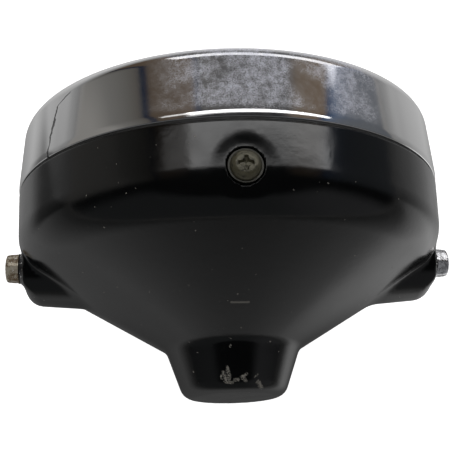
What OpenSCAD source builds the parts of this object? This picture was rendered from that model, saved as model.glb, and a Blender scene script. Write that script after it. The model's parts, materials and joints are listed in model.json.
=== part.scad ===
// Round motorcycle headlight with a chromed rim and a moulded shell.
// The lamp looks along -Y, +X is across the motorcycle and +Z is the side with the rim screw.
// Lengths are in millimetres. A name that ends in _y is a distance behind the rim's front plane.

/* [Rim] */
// Outer diameter at the rim's rear edge
rim_d = 190; // [180:1:200]
// Width of the rim's front face, from its outer edge to the opening for the glass
rim_face_w = 11.3; // [10.8:0.1:14]
// Length of the rim from its front plane to its rear edge
rim_len = 32; // [30:1:38]
// Thickness of the rim's sheet
rim_sheet = 1; // [0.8:0.1:1.4]
// Growth of the rim's radius from front to rear
rim_taper = 2.2; // [1:0.1:3]
// Radius of the rim's rounded front corner
rim_round = 7.5; // [6:0.1:7.8]
// Radius of the bead along the rim's rear edge
rim_bead = 1.6; // [1.2:0.1:2]
// Depth by which the rim's front lip turns in towards the glass
rim_lip = 2.4; // [1.6:0.1:2.8]
// Depth of the in-turned flange at the rim's rear edge
rim_return = 3.6; // [3:0.1:4.5]

/* [Lens] */
// Gap between the lens's edge and the inside of the rim
lens_edge_gap = 3.3; // [2.6:0.1:4]
// Radius of the lens dome
lens_dome_r = 300; // [260:10:400]
// Thickness of the glass
lens_t = 4; // [3:0.5:5]
// Width of one vertical flute on the back of the lens
flute_w = 8; // [6:1:12]
// Depth of a flute
flute_h = 0.9; // [0.5:0.1:1.2]
// Thickness of the gasket between the rim's face and the lens
lens_seal_t = 4; // [3.4:0.1:4.6]

/* [Shell] */
// Step from the rim's rear edge down to the shell
shell_step = 0.2; // [0.1:0.1:1.5]
// Wall thickness of the shell
shell_wall = 3; // [2.5:0.1:3.5]
// Distance from the rim's front plane to the corner where the rear cone begins
shoulder_y = 62.4; // [60:0.2:68]
// Radius of that corner
shoulder_round = 25; // [18:1:28]
// Angle between the rear cone and the lamp's axis
cone_angle = 59; // [57:1:60]
// Loss of the shell's radius between the rim and the shoulder
shell_draft = 0.6; // [0.2:0.1:1.2]
// Diameter of the tail where it leaves the cone
tail_d = 59; // [54:1:64]
// Diameter of the tail at its closed end
tail_end_d = 44; // [40:1:48]
// Length of the tail behind the cone
tail_len = 20.7; // [18:0.1:28]
// Radius between the cone and the tail
tail_fillet = 6; // [4:1:8]
// Radius around the tail's closed end
tail_round = 6; // [4:1:7]
// Thickness of the seal between the rim and the shell
rim_seal_t = 0.9; // [0.6:0.1:1.4]
// Length of the shell's spigot inside the rim
spigot_len = 4; // [3:0.5:6]

/* [Ear bolts] */
// Distance from the rim's front plane to the bolt axis
bolt_y = 62.4; // [61:0.2:65]
// Depth of the two seat faces below the shell's largest radius
seat_depth = 3.5; // [1.5:0.1:4]
// Diameter of the flat seat face around each bolt
seat_d = 26; // [22:1:30]
// Diameter of the boss at its seat, before rounding
boss_d = 33; // [32:0.2:38]
// Draft angle of the boss
boss_draft = 4.5; // [2:0.5:7]
// Radius around the boss's outer end
boss_round = 7.4; // [6:0.2:9]
// Thickness of the wall that the bolt passes through
seat_wall = 5; // [4:0.5:7]
// Diameter of the hollow inside the boss
boss_hollow_d = 28; // [25:0.5:30]
// Thread diameter of the ear bolts
bolt_d = 8; // [6:1:8]
// Length of an ear bolt under its head
bolt_len = 20; // [18:1:24]
// Width across the flats of the bolt heads and nuts
bolt_af = 12; // [11:1:14]
// Height of a bolt head
bolt_head_h = 5.5; // [5:0.1:6.5]
// Thickness of the thin collar under a bolt head
bolt_collar_h = 0.6; // [0.4:0.1:1]
// Diameter of the tapered washer at the shell
washer_d = 17.8; // [16:0.2:19]
// Diameter of the tapered washer at the bolt head
washer_top_d = 12.8; // [12:0.2:14]
// Thickness of the tapered washer
washer_t = 3; // [2:0.5:4]
// Height of the nut inside the boss
nut_h = 7; // [6:0.5:8]
// Diameter of the nut's flange
nut_flange_d = 17; // [16:0.5:19]

/* [Rim fixing] */
// Distance from the rim's front plane to the rim screw
screw_y = 51; // [49:0.5:54]
// Thread diameter of the rim screw
screw_d = 6; // [5:1:6]
// Diameter of the screw's head
screw_head_d = 11.7; // [11:0.1:12.4]
// Height of the screw's domed head
screw_head_h = 3; // [2.4:0.1:3.6]
// Diameter of the washer under the screw's head
screw_washer_d = 13.2; // [12.6:0.1:14]
// Thickness of the washer under the screw's head
screw_washer_t = 0.8; // [0.6:0.1:1.2]
// Diameter of the flat at the bottom of the dimple around the screw
dimple_d = 14.8; // [14.2:0.2:16]
// Diameter of that dimple at the shell's surface
dimple_top_d = 23; // [18:1:28]
// Depth of that dimple
dimple_h = 2; // [1.4:0.1:2.2]
// Width of the rim's two straps
strap_w = 16; // [13:1:20]
// Thickness of the rim's two straps
strap_t = 2; // [1.5:0.1:2.5]
// Width across the flats of the weld nut
weld_nut_af = 10; // [9:1:12]
// Height of the weld nut
weld_nut_h = 4; // [3:0.5:5]

/* [Reflector] */
// Focal length of the reflector
focal_l = 28; // [26:1:30]
// Sheet thickness of the reflector
reflector_t = 1; // [0.8:0.1:1.4]
// Number of springs that hold the reflector in the rim
clip_count = 6; // [4:2:8]
// Width of one of these springs
clip_w = 9; // [6:1:12]

/* [Bulb] */
// Diameter of the main bulb's glass
bulb_glass_d = 17; // [15:0.5:18]
// Length of the glass in front of the bulb's flange
bulb_glass_len = 52; // [46:1:56]
// Diameter of the bulb's mounting flange
bulb_flange_d = 42; // [40:1:44]
// Diameter of the hole that the bulb passes through
bulb_hole_d = 36; // [34:0.5:37]
// Diameter of the bulb's metal base
bulb_base_d = 26; // [22:1:28]
// Length of the bulb's metal base behind its flange
bulb_base_len = 9; // [8:1:12]
// Diameter of the parking bulb's holder
parking_d = 13; // [12:0.5:15]
// Distance of the parking bulb below the lamp's axis
parking_drop = 37; // [35:1:40]

/* [Cable entry] */
// Distance of the cable entry from the shell's shoulder, towards the lamp's axis
cable_inset = 36; // [33:1:40]
// Diameter of the grommet's bore
cable_bore_d = 12; // [8:1:14]
// Diameter of the hole in the shell
cable_hole_d = 22; // [20:0.5:24]
// Height of the flat pad around the cable entry
cable_pad_h = 1.5; // [1:0.1:3]

/* [Hidden] */

$fn = 96;
// Angle of one step where an outline's corner is rounded
arc_step = 9;
// Gap between pieces that are assembled loosely
fit_gap = 0.3;
// Gap between an outside thread and its nut
thread_gap = 0.1;
// Depth by which a cut runs past the face that it opens
over = 1;

rim_r = rim_d / 2;
rim_front_r = rim_r - rim_taper;
rim_band_r = rim_r - rim_bead / 2;
rim_band_y = rim_len - 2 * rim_bead;
rim_slope = (rim_band_r - rim_front_r) / rim_band_y;
lens_open_r = rim_front_r - rim_face_w;
lens_r = rim_front_r - rim_sheet - lens_edge_gap;
lens_dome_edge_r = lens_open_r - fit_gap;
lens_front_y = rim_sheet + lens_seal_t;
lens_centre_y = lens_front_y + sqrt(lens_dome_r * lens_dome_r - lens_dome_edge_r * lens_dome_edge_r);
lens_back_y = lens_front_y + lens_t;
lens_apex_y = lens_centre_y - lens_dome_r;

shell_r = rim_r - shell_step;
shell_front_y = rim_len + rim_seal_t;
shoulder_r = shell_r - shell_draft;
cone_slope = tan(cone_angle);
tail_r = tail_d / 2;
tail_y = shoulder_y + (shoulder_r - tail_r) / cone_slope;
tail_end_y = tail_y + tail_len;
return_r = rim_r - rim_return;
spigot_r = return_r - fit_gap;
spigot_inner_r = spigot_r - shell_wall;
spigot_root_y = shell_front_y + 4;

seat_x = shell_r - seat_depth;
boss_r = boss_d / 2;
// The boss ends inside the shell's wall
boss_root_x = seat_x - 34;
nut_x = seat_x - seat_wall;
bolt_hole_r = bolt_d / 2 + 0.25;

screw_seat_z = shell_r - dimple_h;
screw_head_z = screw_seat_z + screw_washer_t;
strap_z = sqrt(pow(spigot_inner_r - fit_gap, 2) - pow(strap_w / 2, 2));
strap_front_y = lens_back_y + 5;
strap_root_y = strap_front_y + 8;
strap_bend_y = rim_len - spigot_len - 3;
strap_end_y = screw_y + 8;
strap_rim_r = rim_front_r - rim_sheet + rim_slope * strap_front_y - 0.05;
strap_rim_z = sqrt(pow(strap_rim_r, 2) - pow(strap_w / 2, 2));
hook_end_z = sqrt(pow(shell_r - shell_wall - shell_draft - fit_gap, 2) - pow(strap_w / 2, 2));
screw_end_z = strap_z - strap_t - weld_nut_h - 1.5;
hook_y = spigot_root_y + fit_gap;

bulb_hole_r = bulb_hole_d / 2;
dish_r = lens_r - 4;
dish_end_r = bulb_hole_r + 4;
dish_depth = dish_r * dish_r / (4 * focal_l);
dish_apex_y = lens_back_y + dish_depth;
collar_y = dish_apex_y - dish_end_r * dish_end_r / (4 * focal_l) + 3;
bulb_seat_y = collar_y + reflector_t;
bulb_flange_t = 1.2;
bulb_flange_y = bulb_seat_y + bulb_flange_t;
bulb_base_y = bulb_flange_y + bulb_base_len;
insulator_h = 6;
insulator_y = bulb_base_y + insulator_h;
blade_root_y = bulb_base_y - 4;
glass_t = 1;
glass_tip_y = bulb_seat_y - bulb_glass_len;
glass_end_y = bulb_seat_y - 1;
blade_w = 7.7;
blade_t = 0.8;
blade_len = 8;
blade_pitch = 7;
// The neck behind the dish, where the bulb's spring and boot are held
neck_r = bulb_flange_d / 2 + 2;
neck_y = dish_apex_y - neck_r * neck_r / (4 * focal_l) - 0.4;
spring_wire_r = 0.75;
spring_y = bulb_flange_y + spring_wire_r;
neck_end_y = spring_y + 3;
dish_steps = 24;
parking_hole_r = parking_d / 2;
parking_socket_r = parking_hole_r - 2;
parking_y = dish_apex_y - parking_drop * parking_drop / (4 * focal_l);
parking_len = 10;
parking_back_y = parking_y + parking_len;
parking_end_y = parking_back_y + 3;
parking_bulb_len = 21;
parking_root_y = parking_y + 5;

origin_y = (lens_apex_y + tail_end_y) / 2;
cable_r = shoulder_r - cable_inset;
cable_y = shoulder_y + cable_inset / cone_slope;

function unit(v) = v / norm(v);
function point(corner) = [corner.x, corner.y];

// The arc that rounds the corner at b between a and c, or b itself when radius is 0
function arc(a, b, c, radius) = radius <= 0 ? [b] :
    let (u = unit(a - b), v = unit(c - b))
    let (half = acos(u * v) / 2, centre = b + unit(u + v) * radius / sin(half))
    let (first = b + u * radius / tan(half) - centre, last = b + v * radius / tan(half) - centre)
    let (turn = atan2(cross(first, last), first * last), steps = ceil(abs(turn) / arc_step))
    let (from = atan2(first.y, first.x))
    [for (i = [0:steps])
        centre + radius * [cos(from + turn * i / steps), sin(from + turn * i / steps)]];

// The points of an open line of corners [radius from the axis, distance, rounding]
function line_points(corners) = let (last = len(corners) - 1)
    [for (i = [0:last]) each i == 0 || i == last ? [point(corners[i])] :
        arc(point(corners[i - 1]), point(corners[i]), point(corners[i + 1]), corners[i].z)];

function normal(a, b) = let (u = unit(b - a)) [-u.y, u.x];

// The same line of corners moved sideways by t, towards its left side
function moved(corners, t) = let (last = len(corners) - 1)
    [for (i = [0:last])
        let (before = normal(point(corners[max(i - 1, 0)]), point(corners[max(i, 1)])))
        let (after = normal(point(corners[min(i, last - 1)]), point(corners[min(i + 1, last)])))
        let (shift = (before + after) * t / (1 + before * after))
        let (radius = corners[i].z - t * sign(cross(before, after)))
        [corners[i].x + shift.x, corners[i].y + shift.y, corners[i].z > 0 ? max(radius, 0) : 0]];

function reversed(list) = [for (i = [len(list) - 1:-1:0]) list[i]];

// The closed outline of a sheet of thickness t along a line of corners
function sheet(corners, t) = concat(line_points(corners), reversed(line_points(moved(corners, t))));

// A solid of revolution about the lamp's axis from points [radius, distance]
module turned(points) {
    translate([0, -origin_y, 0]) rotate([-90, 0, 0]) rotate_extrude() polygon(points);
}

// A ring about the lamp's axis
module ring(inner_r, outer_r, from_y, to_y) {
    turned([[inner_r, from_y], [outer_r, from_y], [outer_r, to_y], [inner_r, to_y]]);
}

// Places what is drawn along +Z on the bolt axis, pointing outwards
module on_bolt_axis(side) {
    translate([0, bolt_y - origin_y, 0]) rotate([0, 90 * side, 0]) children();
}

// Places what is drawn along +Z on the axis of the cable entry, with z = 0 on the shell's cone
module on_cable_axis() {
    translate([0, cable_y - origin_y, -cable_r]) rotate([cone_angle - 180, 0, 0]) children();
}

module at_screw() {
    translate([0, screw_y - origin_y, 0]) children();
}

// A strap bent along a line of corners [height above the axis, distance]
module strap(corners) {
    translate([strap_w / 2, -origin_y, 0]) rotate([0, -90, 0])
        linear_extrude(strap_w) polygon(sheet(corners, strap_t));
}

// A hexagonal bar with its corners turned down at the free end
module hex_head(across, height) {
    intersection() {
        cylinder(h = height, r = across / 2 / cos(30), $fn = 6);
        cylinder(h = height, r1 = across / 2 + height * 1.3, r2 = across / 2 - 0.6);
    }
}

// The shell's outside, from the rim to the middle of the tail's closed end
shell_line = [
    [shell_r, shell_front_y, 0],
    [shoulder_r, shoulder_y, shoulder_round],
    [tail_r, tail_y, tail_fillet],
    [tail_end_d / 2, tail_end_y, tail_round],
    [0, tail_end_y, 0]];

module boss(side) {
    root_r = boss_r + (seat_x - boss_root_x) * tan(boss_draft);
    line = [[0, seat_x, 0], [boss_r, seat_x, boss_round], [root_r, boss_root_x, 0]];
    on_bolt_axis(side) rotate_extrude() polygon(concat(line_points(line), [[0, boss_root_x]]));
}

module boss_cuts(side) {
    on_bolt_axis(side) {
        translate([0, 0, boss_root_x - over])
            cylinder(h = nut_x - boss_root_x + over, d = boss_hollow_d);
        cylinder(h = seat_x + over, r = bolt_hole_r);
        translate([0, 0, seat_x]) cylinder(h = boss_round, d = seat_d);
    }
}

module shell() {
    pad_r = cable_hole_d / 2 + 4;
    inside = concat(line_points(moved(shell_line, shell_wall)), [[0, shell_front_y]]);
    color("#1c1d1d") difference() {
        union() {
            difference() {
                union() {
                    turned(concat(line_points(shell_line), [[0, shell_front_y]]));
                    boss(-1);
                    boss(1);
                    on_cable_axis() translate([0, 0, -shell_wall * 2])
                        cylinder(h = shell_wall * 2 + cable_pad_h, r = pad_r);
                }
                turned(inside);
            }
            ring(spigot_inner_r, shell_r - shell_wall / 2, shell_front_y, spigot_root_y);
            ring(spigot_inner_r, spigot_r, rim_len - spigot_len, shell_front_y + over);
            at_screw() translate([0, 0, strap_z])
                cylinder(h = shell_r - shell_wall / 2 - strap_z, d = strap_w);
        }
        boss_cuts(-1);
        boss_cuts(1);
        at_screw() {
            translate([0, 0, screw_seat_z])
                cylinder(h = dimple_h, d1 = dimple_d, d2 = dimple_top_d);
            cylinder(h = shell_r, r = screw_d / 2 + fit_gap);
        }
        on_cable_axis() {
            translate([0, 0, -shell_wall * 4]) cylinder(h = shell_wall * 6, d = cable_hole_d);
            translate([0, 0, -shell_wall * 4])
                cylinder(h = shell_wall * 3 + cable_pad_h, r = pad_r - 1);
        }
    }
}

module rim() {
    rim_line = [
        [lens_open_r, rim_lip, 0],
        [lens_open_r + 2, 0, 2],
        [rim_front_r, 0, rim_round],
        [rim_band_r, rim_band_y, rim_bead],
        [rim_r, rim_len - rim_bead, rim_bead],
        [rim_r, rim_len, 1.3],
        [return_r, rim_len, 0]];
    color("#c9ccd0") turned(sheet(rim_line, rim_sheet));
}

module rim_seal() {
    color("#101010") ring(return_r + 0.4, shell_r - 0.5, rim_len, shell_front_y);
}

// A fluted disc of glass with a plain flange
module lens() {
    inner_r = lens_dome_r - lens_t;
    half_w = lens_open_r + flute_w;
    flutes = floor(half_w / flute_w);
    // Distance from the turning axis to the back of the glass at x, with a flute on it
    function back_r(x) = sqrt(inner_r * inner_r - x * x) - flute_h * abs(sin(180 * x / flute_w));
    front = [for (i = [-16:16]) let (x = half_w * i / 16) [x, sqrt(lens_dome_r * lens_dome_r - x * x)]];
    back = [for (i = [-flutes * 4:flutes * 4]) let (x = flute_w * i / 4) [x, back_r(x)]];
    color("#dfe8ea", 0.55) union() {
        intersection() {
            translate([0, lens_centre_y - origin_y, 0]) rotate([0, 90, 0])
                rotate([0, 0, 180]) lens_sweep(concat(front, reversed(back)));
            translate([0, -origin_y, 0]) rotate([-90, 0, 0]) translate([0, 0, lens_apex_y - over])
                cylinder(h = lens_front_y - lens_apex_y + lens_t + over * 2, r = lens_dome_edge_r);
        }
        ring(lens_dome_edge_r - lens_t, lens_r, lens_front_y, lens_back_y);
    }
}

module lens_sweep(points) {
    half_angle = asin((lens_open_r + flute_w) / lens_dome_r);
    rotate([0, 0, 90 - half_angle]) rotate_extrude(angle = half_angle * 2)
        polygon([for (p = points) [p.y, p.x]]);
}

// A rubber gasket with its front outer corner cut back to clear the rim's rounding
module lens_seal() {
    flat_r = rim_front_r - rim_round;
    inner_r = flat_r - 0.5;
    color("#161616") turned([
        [inner_r, rim_sheet],
        [flat_r, rim_sheet],
        [lens_r - fit_gap, rim_sheet + lens_seal_t / 2],
        [lens_r - fit_gap, lens_front_y],
        [inner_r, lens_front_y]]);
}

// The dish is a paraboloid, with an edge that wraps the lens and a neck that carries the bulb
dish_line = concat(
    [[lens_r + fit_gap, lens_front_y + 1, 0], [lens_r + fit_gap, lens_back_y, 0]],
    [for (i = [0:dish_steps])
        let (r = dish_r + (dish_end_r - dish_r) * i / dish_steps)
        [r, dish_apex_y - r * r / (4 * focal_l), 0]],
    [[dish_end_r, collar_y, 0], [bulb_hole_r, collar_y, 0]]);

module along_y(x, z, from_y, to_y, r) {
    translate([x, from_y - origin_y, z]) rotate([-90, 0, 0]) cylinder(h = to_y - from_y, r = r);
}

module reflector() {
    sleeve_r = parking_hole_r + reflector_t;
    dish_inside = concat(line_points(dish_line), [[0, collar_y], [0, lens_front_y]]);
    color("#d9dcde") difference() {
        union() {
            turned(sheet(dish_line, -reflector_t));
            ring(neck_r, neck_r + reflector_t, neck_y, neck_end_y);
            difference() {
                along_y(0, -parking_drop, parking_y - sleeve_r, parking_back_y, sleeve_r);
                turned(dish_inside);
            }
        }
        along_y(0, -parking_drop, lens_back_y, parking_back_y + over, parking_hole_r);
        translate([0, spring_y - origin_y, 0]) rotate([0, 90, 0])
            cylinder(h = neck_r * 3, r = spring_wire_r + thread_gap, center = true);
    }
}

// Bent springs that press the reflector's edge forward from the rim's rear flange
module unit_clips() {
    spring_t = 0.6;
    foot_y = lens_back_y + reflector_t;
    leg_r = return_r + spring_t + thread_gap;
    clip_line = [
        [dish_r + 2.5, foot_y, 0],
        [lens_r + 1, foot_y, 1.2],
        [leg_r, rim_band_y - 2, 2],
        [leg_r, rim_len - rim_sheet - spring_t, 0.8],
        [leg_r + 1.5, rim_len - rim_sheet - spring_t, 0]];
    color("#a9a79c") for (i = [0:clip_count - 1])
        rotate([0, (i + 0.5) * 360 / clip_count, 0]) translate([clip_w / 2, -origin_y, 0])
            rotate([0, -90, 0]) linear_extrude(clip_w) polygon(sheet(clip_line, spring_t));
}

// The strap welded inside the rim, with the nut that the rim screw goes into
module rim_strap() {
    strap_line = [
        [strap_rim_z, strap_front_y, 0],
        [strap_rim_z, strap_root_y, 1.5],
        [strap_z, strap_bend_y, 1.5],
        [strap_z, strap_end_y, 0]];
    nut_z = strap_z - strap_t - weld_nut_h;
    color("#b4b5b1") difference() {
        union() {
            strap(strap_line);
            at_screw() translate([0, 0, nut_z])
                cylinder(h = weld_nut_h + strap_t / 2, r = weld_nut_af / 2 / cos(30), $fn = 6);
        }
        at_screw() cylinder(h = strap_z + over, r = screw_d / 2 + thread_gap);
    }
}

// The strap at the bottom of the rim, which hooks behind the shell's spigot
module rim_hook() {
    hook_line = [
        [strap_rim_z, strap_front_y, 0],
        [strap_rim_z, strap_root_y, 1.5],
        [strap_z, strap_bend_y, 1.5],
        [strap_z, hook_y, 0.8],
        [hook_end_z, hook_y, 0]];
    color("#b4b5b1") rotate([0, 180, 0]) strap(hook_line);
}

// A domed screw with a cross recess
module rim_screw() {
    head_r = screw_head_d / 2;
    top_z = screw_head_z + screw_head_h;
    recess_l = screw_head_d * 0.52;
    recess_h = screw_head_h * 0.6;
    profile = [[0, top_z, 0], [head_r, top_z, screw_head_h * 0.85], [head_r, screw_head_z, 0]];
    color("#6d6a58") at_screw() difference() {
        union() {
            rotate_extrude() polygon(concat(line_points(profile), [[0, screw_head_z]]));
            translate([0, 0, screw_end_z])
                cylinder(h = screw_head_z - screw_end_z + over / 2, d = screw_d);
        }
        for (angle = [0, 90]) rotate([0, 0, angle]) translate([0, 0, top_z - recess_h / 2 + over / 2])
            cube([recess_l, recess_l * 0.24, recess_h + over], center = true);
        translate([0, 0, top_z - recess_h])
            cylinder(h = recess_h + over, r1 = recess_l * 0.1, r2 = recess_l * 0.36);
    }
}

module rim_screw_washer() {
    color("#57554a") at_screw() translate([0, 0, screw_seat_z]) difference() {
        cylinder(h = screw_washer_t, d = screw_washer_d);
        translate([0, 0, -over]) cylinder(h = screw_washer_t + 2 * over, r = screw_d / 2 + 0.2);
    }
}

module bolt(side) {
    head_x = seat_x + washer_t;
    on_bolt_axis(side) union() {
        translate([0, 0, head_x]) cylinder(h = bolt_collar_h, r = washer_top_d / 2 + 0.2);
        translate([0, 0, head_x + bolt_collar_h / 2]) hex_head(bolt_af, bolt_head_h);
        translate([0, 0, head_x - bolt_len]) cylinder(h = bolt_len + over / 2, d = bolt_d);
    }
}

module bolt_left() { color("#8f8455") bolt(1); }

module bolt_right() { color("#c4c6c8") bolt(-1); }

module washer(side) {
    color("#0f0f10") on_bolt_axis(side) translate([0, 0, seat_x]) difference() {
        cylinder(h = washer_t, d1 = washer_d, d2 = washer_top_d);
        translate([0, 0, -over]) cylinder(h = washer_t + 2 * over, r = bolt_hole_r);
    }
}

module washer_left() { washer(1); }

module washer_right() { washer(-1); }

// A flanged nut inside the boss
module mount_nut(side) {
    flange_h = 1.5;
    color("#b9b7a4") on_bolt_axis(side) translate([0, 0, nut_x - nut_h]) difference() {
        union() {
            cylinder(h = nut_h, r = bolt_af / 2 / cos(30), $fn = 6);
            translate([0, 0, nut_h - flange_h]) cylinder(h = flange_h, d = nut_flange_d);
        }
        translate([0, 0, -over]) cylinder(h = nut_h + 2 * over, r = bolt_d / 2 + thread_gap);
    }
}

module mount_nut_left() { mount_nut(1); }

module mount_nut_right() { mount_nut(-1); }

// The glass of the main bulb, closed at the front and open where the stem goes in
module bulb_glass() {
    r = bulb_glass_d / 2;
    glass_line = [[0, glass_tip_y, 0], [r, glass_tip_y, r * 0.9], [r, glass_end_y, 0]];
    color("#e6eef0", 0.4) turned(sheet(glass_line, glass_t));
}

// The stem with its posts, the two filaments and the dipping shield
module bulb_filaments() {
    stem_h = 5;
    stem_y = glass_end_y - stem_h;
    near_y = stem_y - 10;
    far_y = near_y - 12;
    post_r = 0.6;
    color("#9a9c9d") union() {
        along_y(0, 0, stem_y, glass_end_y, bulb_glass_d / 2 - glass_t - thread_gap);
        along_y(-4, 0, near_y - 1, stem_y + over, post_r);
        along_y(0, -4, far_y - 1, stem_y + over, post_r);
        along_y(4, 0, far_y - 1, stem_y + over, post_r);
        for (y = [near_y, near_y - 5]) cross_bar(-4, y == near_y ? 0 : -4, y, post_r);
        cross_bar(4, 0, far_y, post_r);
        along_y(0, 0, near_y - 5.5, near_y + 0.5, 1);
        along_y(0, 0, far_y - 0.5, far_y + 5.5, 1);
        cross_bar(0, -4, far_y + 5, post_r);
        intersection() {
            ring(3.2, 3.8, near_y - 8, near_y - 1);
            translate([-5, near_y - origin_y - 9, -5]) cube([10, 10, 4.4]);
        }
    }
}

// A wire from the lamp's axis out to the point (x, z)
module cross_bar(x, z, y, r) {
    length = norm([x, z]);
    translate([0, y - origin_y, 0]) rotate([0, atan2(x, z), 0]) cylinder(h = length, r = r);
}

// The bulb's metal ferrule, its flange with three lugs, and the cup behind it
module bulb_base() {
    grip_r = bulb_glass_d / 2 + thread_gap;
    flange_r = bulb_flange_d / 2;
    base_r = bulb_base_d / 2;
    metal_t = 1;
    ferrule_l = 12;
    lug_w = 12;
    color("#b3b0a6") union() {
        ring(grip_r, grip_r + metal_t, bulb_seat_y - ferrule_l, bulb_seat_y + bulb_flange_t / 2);
        ring(grip_r, flange_r - metal_t, bulb_seat_y, bulb_flange_y);
        ring(base_r - metal_t, base_r, bulb_seat_y + bulb_flange_t / 2, bulb_base_y);
        intersection() {
            along_y(0, 0, bulb_seat_y, bulb_flange_y, flange_r);
            for (angle = [0, 120, 240]) rotate([0, angle, 0])
                translate([-lug_w / 2, bulb_seat_y - origin_y - over, base_r])
                    cube([lug_w, bulb_flange_t + 2 * over, flange_r]);
        }
    }
}

// The places of the three blades in the insulator: [x, z, turn about the lamp's axis]
blades = [[-blade_pitch, 0, 90], [blade_pitch, 0, 90], [0, blade_pitch - 0.5, 0]];

module blade(place, from_y, to_y, gap) {
    translate([place.x, from_y - origin_y, place.y]) rotate([0, place.z, 0])
        translate([-blade_w / 2 - gap, 0, -blade_t / 2 - gap])
            cube([blade_w + 2 * gap, to_y - from_y, blade_t + 2 * gap]);
}

module bulb_insulator() {
    color("#2b2b2b") difference() {
        union() {
            ring(0, bulb_base_d / 2 - 1 - thread_gap, bulb_flange_y + 1, bulb_base_y);
            ring(0, bulb_base_d / 2, bulb_base_y, insulator_y);
        }
        for (place = blades) blade(place, blade_root_y, insulator_y + over, thread_gap);
    }
}

module bulb_terminals() {
    color("#c8b070") for (place = blades) blade(place, blade_root_y, insulator_y + blade_len, 0);
}

// The wire spring that holds the bulb's flange, with its ends in the reflector's neck
module bulb_spring() {
    spring_r = bulb_flange_d / 2 - 2;
    end_l = neck_r + reflector_t + 1 - spring_r;
    color("#b9babb") union() {
        translate([0, spring_y - origin_y, 0]) rotate([-90, 0, 0])
            rotate_extrude() translate([spring_r, 0]) circle(r = spring_wire_r, $fn = 24);
        for (side = [-1, 1]) translate([0, spring_y - origin_y, 0]) rotate([0, 90 * side, 0])
            translate([0, 0, spring_r]) cylinder(h = end_l, r = spring_wire_r, $fn = 24);
    }
}

// The rubber boot from the reflector's neck to the bulb's insulator
module bulb_boot() {
    skirt_r = neck_r + reflector_t + fit_gap;
    grip_r = bulb_base_d / 2 + fit_gap;
    boot_line = [
        [skirt_r, spring_y + spring_wire_r + fit_gap, 0],
        [skirt_r, neck_end_y + fit_gap, 0],
        [skirt_r - 5, neck_end_y + fit_gap, 1.5],
        [grip_r, bulb_base_y - 1, 1.5],
        [grip_r, insulator_y - 1, 0]];
    color("#171717") turned(sheet(boot_line, -1.4));
}

// The parking bulb's holder, pushed into the reflector's sleeve from behind
module parking_holder() {
    r = parking_hole_r - thread_gap;
    color("#e5e2d6") difference() {
        union() {
            along_y(0, -parking_drop, parking_y, parking_back_y + over, r);
            along_y(0, -parking_drop, parking_back_y, parking_end_y, parking_hole_r + 3);
        }
        along_y(0, -parking_drop, parking_y - over, parking_root_y, parking_socket_r);
    }
}

module parking_bulb() {
    r = parking_socket_r - thread_gap;
    profile = [[0, -parking_bulb_len, 0], [r, -parking_bulb_len, r * 0.9], [r, 0, 0]];
    color("#f0f2f0", 0.5) translate([0, parking_root_y - origin_y, -parking_drop])
        rotate([-90, 0, 0]) rotate_extrude() polygon(concat(line_points(profile), [[0, 0]]));
}

module parking_contacts() {
    color("#c8b070") for (side = [-1, 1])
        translate([side * 3 - blade_t / 2, parking_end_y - origin_y, -parking_drop - 2.4])
            cube([blade_t, 7, 4.8]);
}

// A rubber ring with a groove that grips the wall of the cable entry
module cable_grommet() {
    hole_r = cable_hole_d / 2;
    inner_z = cable_pad_h - shell_wall;
    outer_points = line_points([
        [cable_bore_d / 2, inner_z - 2.2, 0],
        [hole_r + 2, inner_z - 2.2, 1],
        [hole_r + 2, inner_z, 0],
        [hole_r - thread_gap, inner_z, 0],
        [hole_r - thread_gap, cable_pad_h, 0],
        [hole_r + 2.5, cable_pad_h, 0],
        [hole_r + 2.5, cable_pad_h + 2.5, 1.2],
        [cable_bore_d / 2, cable_pad_h + 2.5, 0]]);
    color("#141414") on_cable_axis() rotate_extrude() polygon(outer_points);
}

shell();
rim();
rim_seal();
lens();
lens_seal();
reflector();
unit_clips();
rim_strap();
rim_hook();
rim_screw();
rim_screw_washer();
bolt_left();
bolt_right();
washer_left();
washer_right();
mount_nut_left();
mount_nut_right();
bulb_glass();
bulb_filaments();
bulb_base();
bulb_insulator();
bulb_terminals();
bulb_spring();
bulb_boot();
parking_holder();
parking_bulb();
parking_contacts();
cable_grommet();
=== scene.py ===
import json
import math

import bmesh
import bpy
import numpy as np
from mathutils import Matrix, Vector


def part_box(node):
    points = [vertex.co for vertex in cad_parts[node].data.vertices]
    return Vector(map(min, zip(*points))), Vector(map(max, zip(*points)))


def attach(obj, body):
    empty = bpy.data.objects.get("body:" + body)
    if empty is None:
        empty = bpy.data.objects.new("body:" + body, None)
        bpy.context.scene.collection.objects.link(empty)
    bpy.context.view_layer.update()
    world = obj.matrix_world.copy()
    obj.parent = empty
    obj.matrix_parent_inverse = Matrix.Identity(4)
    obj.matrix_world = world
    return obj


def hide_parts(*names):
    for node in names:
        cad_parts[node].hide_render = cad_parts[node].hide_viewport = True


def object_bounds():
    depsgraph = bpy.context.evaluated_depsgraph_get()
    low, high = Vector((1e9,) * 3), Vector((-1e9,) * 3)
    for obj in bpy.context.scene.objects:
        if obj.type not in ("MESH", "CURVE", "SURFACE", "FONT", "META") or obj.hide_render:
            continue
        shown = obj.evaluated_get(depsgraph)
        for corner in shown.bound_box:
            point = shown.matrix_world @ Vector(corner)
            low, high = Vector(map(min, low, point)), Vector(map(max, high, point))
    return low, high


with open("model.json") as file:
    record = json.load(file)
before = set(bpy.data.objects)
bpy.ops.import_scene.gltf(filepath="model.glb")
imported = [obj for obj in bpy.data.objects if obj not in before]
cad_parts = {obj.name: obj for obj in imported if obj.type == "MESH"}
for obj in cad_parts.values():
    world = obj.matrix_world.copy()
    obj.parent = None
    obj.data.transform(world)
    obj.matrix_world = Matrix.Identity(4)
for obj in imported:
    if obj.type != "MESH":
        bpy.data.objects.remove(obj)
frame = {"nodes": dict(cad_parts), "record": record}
cad_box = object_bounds()

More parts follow.
